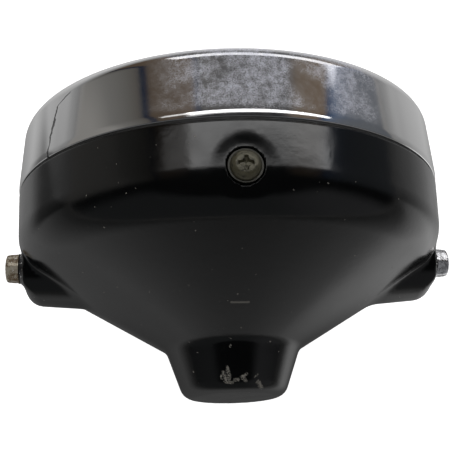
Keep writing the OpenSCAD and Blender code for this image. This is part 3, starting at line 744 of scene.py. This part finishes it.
class Nodes:
    """A node tree, whose patterns follow one set of coordinates."""

    def __init__(self, tree, coordinates):
        self.tree = tree
        self.place = self.node("ShaderNodeTexCoord").outputs[coordinates]

    def node(self, kind, **settings):
        node = self.tree.nodes.new(kind)
        for key, value in settings.items():
            setattr(node, key, value)
        return node

    def link(self, source, target):
        self.tree.links.new(source, target)

    def noise(self, size, detail=3.0, rough=0.5):
        """Noise whose features are about size millimetres across."""
        return self.noise_node(size, detail, rough).outputs["Fac"]

    def noise_node(self, size, detail, rough=0.5):
        """A noise node, for the outputs that noise() doesn't give."""
        node = self.node("ShaderNodeTexNoise")
        node.inputs["Scale"].default_value = 1 / (size * MM)
        node.inputs["Detail"].default_value = detail
        node.inputs["Roughness"].default_value = rough
        self.link(self.place, node.inputs["Vector"])
        return node

    def spread(self, source, low, high, out_low=0.0, out_high=1.0):
        """Maps source from low..high to out_low..out_high, clamped."""
        node = self.node("ShaderNodeMapRange", interpolation_type="SMOOTHSTEP")
        node.inputs["From Min"].default_value = low
        node.inputs["From Max"].default_value = high
        node.inputs["To Min"].default_value = out_low
        node.inputs["To Max"].default_value = out_high
        self.link(source, node.inputs["Value"])
        return node.outputs["Result"]

    def fill(self, sockets, values):
        """Sets each socket to its value, or links it to the value if that is an output."""
        for socket, value in zip(sockets, values):
            if isinstance(value, (int, float, tuple, Vector)):
                socket.default_value = value
            elif value is not None:
                self.link(value, socket)

    def math(self, operation, a, b=None, clamp=False):
        node = self.node("ShaderNodeMath", operation=operation, use_clamp=clamp)
        self.fill(node.inputs, (a, b))
        return node.outputs["Value"]

    def fold(self, operation, values):
        """Applies an operation of two values along a list."""
        result = values[0]
        for value in values[1:]:
            result = self.math(operation, result, value)
        return result

    def mix(self, factor, a, b):
        """The colour a where factor is 0, and b where it is 1."""
        node = self.node("ShaderNodeMix", data_type="RGBA")
        ends = [(*end, 1) if isinstance(end, tuple) else end for end in (a, b)]
        self.fill((node.inputs["Factor"], *node.inputs[6:8]), (factor, *ends))
        return node.outputs[2]

    def axes(self):
        """The x, y and z of the coordinates."""
        node = self.node("ShaderNodeSeparateXYZ")
        self.link(self.place, node.inputs[0])
        return node.outputs

    def vector(self, operation, a, b=None):
        node = self.node("ShaderNodeVectorMath", operation=operation)
        self.fill(node.inputs, (a, b))
        return node

    def ramp(self, source, stops):
        """A colour ramp over source, with stops (position, grey level or colour)."""
        node = self.node("ShaderNodeValToRGB")
        elements = node.color_ramp.elements
        elements[0].position, elements[1].position = stops[0][0], stops[-1][0]
        for position, _ in stops[1:-1]:
            elements.new(position)
        for element, (_, level) in zip(elements, stops):
            element.color = (*level, 1) if isinstance(level, tuple) else (level, level, level, 1)
        self.link(source, node.inputs["Fac"])
        return node.outputs["Color"]

    def stroke(self, a, b, radius, place):
        """1 on the line from a to b, falling to 0 at radius millimetres from it."""
        a, b = Vector(a) * MM, Vector(b) * MM
        along = b - a
        seen = self.vector("SUBTRACT", place, a).outputs[0]
        share = self.vector("DOT_PRODUCT", seen, along / along.length_squared).outputs["Value"]
        share = self.math("ADD", share, 0.0, clamp=True)
        nearest = self.vector("SCALE", tuple(along))
        self.link(share, nearest.inputs["Scale"])
        gap = self.vector("DISTANCE", seen, nearest.outputs[0]).outputs["Value"]
        return self.spread(gap, radius * MM, radius * MM * STROKE_CORE)

    def ragged(self, size, amount):
        """The coordinates, moved by up to amount millimetres with noise of this size."""
        noise = self.noise_node(size, 3)
        shift = self.vector("SUBTRACT", noise.outputs["Color"], (0.5, 0.5, 0.5)).outputs[0]
        scaled = self.vector("SCALE", shift)
        scaled.inputs["Scale"].default_value = 2 * amount * MM
        return self.vector("ADD", self.place, scaled.outputs[0]).outputs[0]

    def seen_direct(self):
        """1 for what the camera sees, also through the glass, and 0 for mirrors and light."""
        path = self.node("ShaderNodeLightPath")
        return self.math("MAXIMUM", path.outputs["Is Camera Ray"],
                         path.outputs["Is Transmission Ray"])


class Shader(Nodes):
    """A material's node tree around one Principled shader."""

    def __init__(self, name, color, roughness, metallic=0.0, **sockets):
        self.material = bpy.data.materials.new(name)
        self.material.use_nodes = True
        super().__init__(self.material.node_tree, "Object")
        self.bsdf = self.tree.nodes["Principled BSDF"]
        self.bsdf.inputs["Base Color"].default_value = (*color, 1)
        self.bsdf.inputs["Roughness"].default_value = roughness
        self.bsdf.inputs["Metallic"].default_value = metallic
        for socket, value in sockets.items():
            self.bsdf.inputs[socket.replace("_", " ")].default_value = value

    def color(self, source):
        self.link(source, self.bsdf.inputs["Base Color"])

    def roughness(self, source):
        self.link(source, self.bsdf.inputs["Roughness"])

    def metallic(self, source):
        self.link(source, self.bsdf.inputs["Metallic"])

    def bump(self, *layers):
        """Stacks layers of (height source, depth in millimetres)."""
        previous = None
        for height, depth in layers:
            node = self.node("ShaderNodeBump")
            node.inputs["Strength"].default_value = 1.0
            node.inputs["Distance"].default_value = depth * MM
            self.link(height, node.inputs["Height"])
            if previous:
                self.link(previous, node.inputs["Normal"])
            previous = node.outputs["Normal"]
        self.link(previous, self.bsdf.inputs["Normal"])


SHELL_BLACK = (0.0010, 0.0012, 0.0012)
SCUFF_GREY = (0.17, 0.16, 0.14)
SCUFFS = [
    ((4.3, 54.6, 25.0), (3.5, 59.3, 23.4), 1.0),
    ((6.0, 56.8, 23.9), (4.6, 60.0, 23.0), 1.1),
    ((5.4, 60.4, 22.7), (2.3, 60.7, 23.1), 0.8),
    ((7.0, 57.9, 23.2), (6.6, 59.1, 22.8), 0.6),
    ((1.3, 59.8, 23.5), (-0.1, 59.6, 23.6), 0.9),
    ((-3.6, 57.5, 24.1), (-1.6, 58.5, 24.0), 0.9),
    ((-1.6, 58.7, 23.9), (-3.1, 60.0, 23.2), 1.0),
    ((-7.1, 58.5, 22.9), (-8.2, 57.8, 22.8), 0.6),
    ((-8.3, 60.5, 21.7), (-10.1, 62.5, 19.3), 1.2),
    ((3.0, 46.3, 28.3), (3.0, 46.6, 28.1), 0.7),
    ((3.2, 43.4, 29.7), (3.1, 43.6, 29.6), 0.5),
    ((18.1, 54.8, 17.6), (18.0, 55.3, 17.7), 0.6)]
STREAKS = [
    ((3.4, 32.7, 47.3), (-3.4, 32.7, 47.2), 0.75),
    ((-39.5, 0.0, 83.5), (-48.9, -2.3, 79.5), 0.22),
    ((-51.6, -0.4, 76.8), (-63.1, -4.3, 69.4), 0.22)]
STREAK_SHARE = 0.55
CHROME = (0.61, 0.61, 0.61)
HAZE_GREY = (0.58, 0.59, 0.68)
# The haze's mottling: noise size, detail, roughness, from, to, and what is left at the low end
HAZE_LAYERS = (
    (11, 3.0, 0.5, 0.34, 0.58, 0.32),
    (2.2, 5.0, 0.65, 0.32, 0.68, 0.42),
    (0.5, 3.0, 0.7, 0.34, 0.64, 0.38))
HAZE_LEFT = (0.040, 0.012)
HAZE_RIGHT = (-0.062, -0.044)
HAZE_TOP = (0.02, 0.06)
HAZE_REAR = (-0.0285, -0.032, 0.1, 1)
CLEAR_SPOT = ((-23.2, -41.1, 90.7), (-28.7, -34.2, 89.4), 9.0)
CLEAR_SHARE = 0.8
HAIRLINE_BLACK = (0.02, 0.02, 0.02)
# The dark hairline's place around the lamp, in quarter turns from the top, over its length
HAIRLINE_COURSE = (
    (0.0, 0.480), (0.24, 0.5097), (0.325, 0.563), (0.3775, 0.5667), (0.635, 0.5833), (1.0, 0.60))
HAIRLINE_START_Y = 0.06
HAIRLINE_SPAN_Y = 0.04
HAIRLINE_WANDER = 0.006
HAIRLINE_WIDTH = (0.0058, 0.0028)
HAIRLINE_FRONT = (-0.0512, -0.0500)


def black_shell():
    """Glossy black plastic with a slight orange peel, pale scuffs on the tail and dust."""
    shader = Shader("black_shell", SHELL_BLACK, 0.15)
    torn = shader.ragged(1.1, 0.75)
    scuffs = shader.fold("MAXIMUM", [shader.stroke(a, b, r, torn) for a, b, r in SCUFFS])
    grit = shader.spread(shader.noise(0.45, 2.0), 0.42, 0.56)
    streaks = shader.fold("MAXIMUM", [shader.stroke(a, b, r, shader.place) for a, b, r in STREAKS])
    blotch = shader.noise(9, 4.0)
    specks = shader.spread(shader.noise(1.1, 0.0), 0.846, 0.868)
    dust = shader.math("MULTIPLY", specks, shader.spread(blotch, 0.48, 0.56))
    marks = shader.fold("MAXIMUM", [
        shader.math("MULTIPLY", scuffs, grit), shader.math("MULTIPLY", streaks, STREAK_SHARE), dust])
    shader.color(shader.mix(marks, SHELL_BLACK, SCUFF_GREY))
    shader.bump((shader.noise(2.2, 2.0), 0.022), (shader.noise(14, 1.0), 0.05))
    gloss = shader.spread(blotch, 0.35, 0.7, 0.13, 0.19)
    shader.roughness(shader.math("ADD", gloss, shader.math("MULTIPLY", marks, 0.5)))
    return shader.material


def chrome_rim():
    """Chrome, dulled by a mottled haze on the top, with a thin dark line along its left side."""
    shader = Shader("chrome_rim", CHROME, 0.05, 1.0)
    x, y, z = shader.axes()
    mottling = [shader.spread(shader.noise(size, detail, rough), low, high, least, 1)
                for size, detail, rough, low, high, least in HAZE_LAYERS]
    limits = [shader.spread(x, *HAZE_LEFT), shader.spread(x, *HAZE_RIGHT),
              shader.spread(z, *HAZE_TOP), shader.spread(y, *HAZE_REAR)]
    spot = shader.stroke(*CLEAR_SPOT, shader.ragged(5.0, 2.5))
    kept = shader.math("SUBTRACT", 1.0, shader.math("MULTIPLY", spot, CLEAR_SHARE))
    haze = shader.fold("MULTIPLY", mottling + limits + [kept])
    # A thin dark line painted into the colour along the left of the band
    hairline = dark_hairline(shader, x, y, z)
    shader.color(shader.mix(hairline, shader.mix(haze, CHROME, HAZE_GREY), HAIRLINE_BLACK))
    dull = shader.math("MAXIMUM", shader.math("MULTIPLY", haze, 0.95), hairline)
    shader.metallic(shader.math("SUBTRACT", 1.0, dull))
    shader.roughness(shader.math("ADD", shader.math("MULTIPLY", haze, 0.03), 0.05))
    shader.bump((mottling[-1], 0.004), (shader.noise(30, 1.0), 0.04))
    return shader.material


def dark_hairline(shader, x, y, z):
    """1 along a thin line, whose angle around the lamp follows a course from front to back."""
    turn = shader.math("DIVIDE", shader.math("ARCTAN2", x, z), math.pi / 2)
    wander = shader.spread(shader.noise(3, 3.0), 0.2, 0.8, -HAIRLINE_WANDER, HAIRLINE_WANDER)
    behind = shader.math("ADD", y, HAIRLINE_START_Y)
    course = shader.ramp(shader.math("DIVIDE", behind, HAIRLINE_SPAN_Y, clamp=True), HAIRLINE_COURSE)
    gap = shader.math("SUBTRACT", shader.math("ADD", turn, wander), course)
    line = shader.spread(shader.math("ABSOLUTE", gap), *HAIRLINE_WIDTH)
    return shader.math("MULTIPLY", line, shader.spread(y, *HAIRLINE_FRONT))


def plain(name, color, roughness, metallic=0.0, size=3.0, change=0.12, depth=0.02):
    """A plain surface with a slightly uneven colour, gloss and surface."""
    shader = Shader(name, color, roughness, metallic)
    grain = shader.noise(size, 4.0, 0.6)
    darker = tuple(c * (1 - change) for c in color)
    lighter = tuple(min(c * (1 + change), 1) for c in color)
    shader.color(shader.mix(shader.spread(grain, 0.3, 0.7), darker, lighter))
    shader.roughness(shader.spread(grain, 0.3, 0.7, roughness * 0.8, min(roughness * 1.25, 1)))
    shader.bump((grain, depth))
    return shader.material


GLINT_WHITE = (0.85, 0.85, 0.82)


def weathered(name, clean, worn, roughness, metallic, share=0.55, size=1.6, sparks=0.0):
    """A surface with dull spots of another colour, which begin at share, and pale specks painted as
    glints.
    """
    shader = Shader(name, clean, roughness, metallic)
    spots = shader.noise(size, 5.0, 0.7)
    fine = shader.noise(0.5, 3.0, 0.6)
    worn_at = shader.spread(spots, share - 0.04, share + 0.08)
    worn_at = shader.math("MULTIPLY", worn_at, shader.spread(fine, 0.3, 0.5))
    # Pale specks mixed into the colour are painted glints
    glint_at = shader.math("MULTIPLY", shader.spread(shader.noise(0.9, 1.0), 0.66, 0.72), sparks)
    shader.color(shader.mix(glint_at, shader.mix(worn_at, clean, worn), GLINT_WHITE))
    shader.roughness(shader.math("ADD", shader.math("MULTIPLY", worn_at, 0.3), roughness))
    shader.bump((spots, 0.05), (fine, 0.02))
    return shader.material


def clear_glass(name, color, ior):
    """Slightly smudged glass; a low ior stands for glass too thin to bend the light."""
    shader = Shader(name, color, 0.0, Transmission_Weight=1.0, IOR=ior)
    shader.roughness(shader.spread(shader.noise(12, 3.0), 0.4, 0.8, 0.0, 0.04))
    return shader.material


PLAIN = {
    "rubber": ((0.016, 0.016, 0.016), 0.6),
    "reflector_silver": ((0.86, 0.87, 0.88), 0.06, 1.0, 20.0, 0.02, 0.01),
    "spring_steel": ((0.42, 0.42, 0.41), 0.3, 1.0),
    "plated_steel": ((0.52, 0.52, 0.48), 0.35, 1.0),
    "dark_washer": ((0.03, 0.029, 0.024), 0.35, 0.6),
    "filament_metal": ((0.45, 0.45, 0.46), 0.4, 1.0),
    "bulb_metal": ((0.62, 0.61, 0.57), 0.3, 1.0),
    "black_insulator": ((0.03, 0.03, 0.03), 0.55),
    "brass_blades": ((0.68, 0.52, 0.26), 0.3, 1.0),
    "white_holder": ((0.72, 0.70, 0.64), 0.5)}
WEATHERED = {
    "dull_screw": dict(
        clean=(0.062, 0.057, 0.036), worn=(0.014, 0.013, 0.009), roughness=0.3, metallic=0.35),
    "yellow_zinc": dict(
        clean=(0.50, 0.45, 0.36), worn=(0.17, 0.115, 0.065), roughness=0.3, metallic=0.6,
        share=0.46, size=4.5, sparks=1.0),
    "bright_zinc": dict(
        clean=(0.80, 0.80, 0.82), worn=(0.35, 0.35, 0.36), roughness=0.14, metallic=0.9,
        share=0.5, size=3.0, sparks=0.6),
    "black_washer": dict(
        clean=(0.004, 0.004, 0.005), worn=(0.02, 0.02, 0.02), roughness=0.1, metallic=0.0,
        share=0.6, size=1.6, sparks=0.8)}
GLASS = {
    "lens_glass": ((0.97, 0.99, 0.98), 1.5),
    "bulb_glass": ((0.99, 1.0, 1.0), 1.15)}
OWN_LOOK = {"rim_screw_washer": "dark_washer"}


def make_materials():
    """Makes every material by its slot's name and gives the solids theirs."""
    MATERIALS["black_shell"] = black_shell()
    MATERIALS["chrome_rim"] = chrome_rim()
    for name, settings in PLAIN.items():
        MATERIALS[name] = plain(name, *settings)
    for name, settings in WEATHERED.items():
        MATERIALS[name] = weathered(name, **settings)
    for name, settings in GLASS.items():
        MATERIALS[name] = clear_glass(name, *settings)
    for entry in frame["record"]["subparts"]:
        look = OWN_LOOK.get(entry["node"], entry["material_slot"])
        mesh = frame["nodes"][entry["node"]].data
        mesh.materials.clear()
        mesh.materials.append(MATERIALS[look])


# The floor, the light and the camera

FLOOR_Z = cad_box[0][2]
FLOOR_SIZE = 6.0
FLOOR_GLOW = 0.85
# The glow rises away from the part: painted light that makes up for the lamps' falloff there
FLOOR_GLOW_REACH = (0.3, 0.9)
# What mirrors see of the floor: grey levels over the distance from the part, as a share of reach
FLOOR_REACH = 3.0
# These levels are painted: a painted shadow of the part close to it, and painted light on the table
# further off
FLOOR_MIRROR = (
    (0.03, 0.10), (0.05, 0.28), (0.08, 0.5), (0.2, 0.3), (0.4, 0.175), (1.0, 0.11))
# Painted light on the mirrored table ahead of the part and at its right, and painted shade at its
# left
FLOOR_AHEAD_LIGHT = 2.15
FLOOR_AHEAD_Y = (0.0, -0.6)
FLOOR_SHADE = 0.75
SHADE_X = (0.2, 0.35)
SHADE_MIDDLE_Y = 0.09
SHADE_REACH_Y = (0.12, 0.07)
FLOOR_RIGHT_LIGHT = 1.3
RIGHT_X = (-0.06, -0.16)
RIGHT_BACK_Y = (0.25, 0.08)
RIGHT_FRONT_Y = (-0.05, 0.02)
# The room ahead of the lamp, from its right (0) to its left (1)
ROOM_AHEAD = [
    (0.06, (0.13, 0.14, 0.155)), (0.10, (0.12, 0.135, 0.165)), (0.14, (0.10, 0.14, 0.22)),
    (0.15, (0.02, 0.05, 0.12)), (0.158, (0.02, 0.05, 0.12)), (0.165, (0.17, 0.12, 0.08)),
    (0.25, (0.16, 0.12, 0.085)), (0.29, (0.06, 0.06, 0.065)), (0.45, (0.05, 0.05, 0.055)),
    (0.625, (0.06, 0.055, 0.05)), (0.631, (0.02, 0.04, 0.09)), (0.64, (0.02, 0.04, 0.09)),
    (0.646, (0.12, 0.085, 0.06)), (0.80, (0.10, 0.075, 0.055)), (0.806, (0.012, 0.02, 0.04)),
    (0.82, (0.012, 0.02, 0.04)), (0.826, (0.11, 0.10, 0.09)), (0.86, (0.15, 0.145, 0.135)),
    (0.90, (0.20, 0.195, 0.185)), (0.93, (0.31, 0.30, 0.285))]
AHEAD_Y, AHEAD_Z = (0.08, -0.12), (0.92, 0.86)
ROOM_RIGHT = (0.24, 0.24, 0.25)
ROOM_DARK = (0.02, 0.02, 0.022)
ROOM_LOW = (0.33, 0.32, 0.31)
LOW_Z = (0.0, -0.03)
ROOM_BACK = (0.14, 0.145, 0.15)
BACK_X, BACK_Y, BACK_Z = (-0.7, -0.2), (0.15, 0.5), (0.76, 0.60)
WHITE = (1.0, 1.0, 1.0)


def make_floor():
    """A white floor with the part's shadow, which mirrors see as a glowing grey table of painted
    light and shade.
    """
    bpy.ops.mesh.primitive_plane_add(size=FLOOR_SIZE, location=(0, 0, FLOOR_Z))
    floor = bpy.context.object
    floor.name = "floor"
    shader = Shader("floor_white", (0.8, 0.8, 0.8), 0.9)
    distance = shader.vector("LENGTH", shader.place).outputs["Value"]
    glow = shader.spread(distance, *FLOOR_GLOW_REACH, FLOOR_GLOW, 1.0)
    shader.bsdf.inputs["Emission Color"].default_value = (*WHITE, 1)
    shader.link(shader.math("MULTIPLY", shader.seen_direct(), glow),
                shader.bsdf.inputs["Emission Strength"])
    mirror = shader.node("ShaderNodeEmission")
    levels = shader.ramp(shader.math("DIVIDE", distance, FLOOR_REACH), FLOOR_MIRROR)
    shader.link(levels, mirror.inputs["Color"])
    shader.link(mirror_level(shader), mirror.inputs["Strength"])
    mix = shader.node("ShaderNodeMixShader")
    path = shader.node("ShaderNodeLightPath")
    shader.fill(mix.inputs, (path.outputs["Is Glossy Ray"], shader.bsdf.outputs["BSDF"],
                             mirror.outputs["Emission"]))
    shader.link(mix.outputs["Shader"], shader.tree.nodes["Material Output"].inputs["Surface"])
    floor.data.materials.append(shader.material)


def mirror_level(shader):
    """Paints light on the mirrored table ahead of the part and at its right, and paints shade at its
    left.
    """
    x, y, _ = shader.axes()
    aside = shader.math("ABSOLUTE", shader.math("ADD", y, SHADE_MIDDLE_Y))
    shade = shader.math("MULTIPLY", shader.spread(aside, *SHADE_REACH_Y),
                        shader.spread(x, *SHADE_X, 0.0, FLOOR_SHADE))
    right = shader.fold("MULTIPLY", [shader.spread(x, *RIGHT_X), shader.spread(y, *RIGHT_BACK_Y),
                                     shader.spread(y, *RIGHT_FRONT_Y), FLOOR_RIGHT_LIGHT])
    ahead = shader.spread(y, *FLOOR_AHEAD_Y, 1.0, FLOOR_AHEAD_LIGHT)
    return shader.math("ADD", shader.math("SUBTRACT", ahead, shade), right)


def make_world():
    """A dark room, lighter ahead of the lamp and behind it, and white to the camera."""
    world = bpy.data.worlds.new("studio")
    bpy.context.scene.world = world
    world.use_nodes = True
    sky = Nodes(world.node_tree, "Generated")
    x, y, z = sky.axes()
    across = sky.ramp(sky.math("MULTIPLY", sky.math("ADD", x, 1.0), 0.5), ROOM_AHEAD)
    ahead = sky.math("MULTIPLY", sky.spread(y, *AHEAD_Y), sky.spread(z, *AHEAD_Z))
    back = sky.math("MULTIPLY", sky.spread(y, *BACK_Y), sky.spread(z, *BACK_Z))
    wall = sky.mix(ahead, ROOM_DARK, across)
    wall = sky.mix(back, wall, sky.mix(sky.spread(x, *BACK_X), ROOM_RIGHT, ROOM_BACK))
    wall = sky.mix(sky.spread(z, *LOW_Z), wall, ROOM_LOW)
    sky.link(sky.mix(sky.seen_direct(), wall, WHITE),
             sky.tree.nodes["Background"].inputs["Color"])


# Name, place, aim, size, power and whether surfaces mirror it
LIGHTS = [
    ("window", (-0.52, -0.69, 1.38), (-0.60, 0, 0), (2.17, 0.24), 5.7, True),
    ("window_edge", (-0.52, -0.53, 1.38), (-0.60, 0, 0), (2.17, 0.11), 0.9, True),
    ("window_left", (0.76, -0.58, 1.38), (0.76, 0, 0), (0.45, 0.16), 0.25, True),
    ("low_strip", (-0.46, -1.3, 0.72), (-0.46, 0, 0), (2.1, 0.5), 5.0, True),
    ("fill_behind", (0.4, 0.7, 1.4), (0, 0, 0), (1.0, 1.0), 10.0, False),
    ("fill_ahead", (-0.3, -1.3, 0.7), (0, 0, 0), (1.0, 1.0), 4.0, False)]


def make_lights():
    """A window over the lamp's front with dimmer edges, a low strip, and two plain fills."""
    for name, place, aim, size, power, mirrored in LIGHTS:
        data = bpy.data.lights.new(name, "AREA")
        data.shape = "RECTANGLE"
        data.size, data.size_y = size
        data.energy = power
        lamp = bpy.data.objects.new(name, data)
        lamp.location = place
        lamp.rotation_euler = (Vector(place) - Vector(aim)).to_track_quat("Z", "Y").to_euler()
        lamp.visible_glossy = mirrored
        bpy.context.scene.collection.objects.link(lamp)


def make_camera():
    """The photograph's camera."""
    data = bpy.data.cameras.new("camera")
    data.lens = CAMERA_LENS
    data.sensor_width = SENSOR
    camera = bpy.data.objects.new("camera", data)
    bpy.context.scene.collection.objects.link(camera)
    back = (CAMERA_PLACE - CAMERA_AIM).normalized()
    right = CAMERA_TOP.cross(back).normalized()
    turn = Matrix((right, back.cross(right), back)).transposed().to_4x4()
    camera.matrix_world = Matrix.Translation(CAMERA_PLACE) @ turn
    bpy.context.scene.camera = camera


make_camera()
make_materials()
make_shell()
make_rim()
make_lens()
make_bolt(1, "ear_bolt_left", "bolt_left", "yellow_zinc")
make_bolt(-1, "ear_bolt_right", "bolt_right", "bright_zinc")
make_washer(1, "tapered_washer_left", "washer_left")
make_washer(-1, "tapered_washer_right", "washer_right")
make_screw()
make_floor()
make_world()
make_lights()

bpy.context.scene.view_settings.view_transform = "Standard"
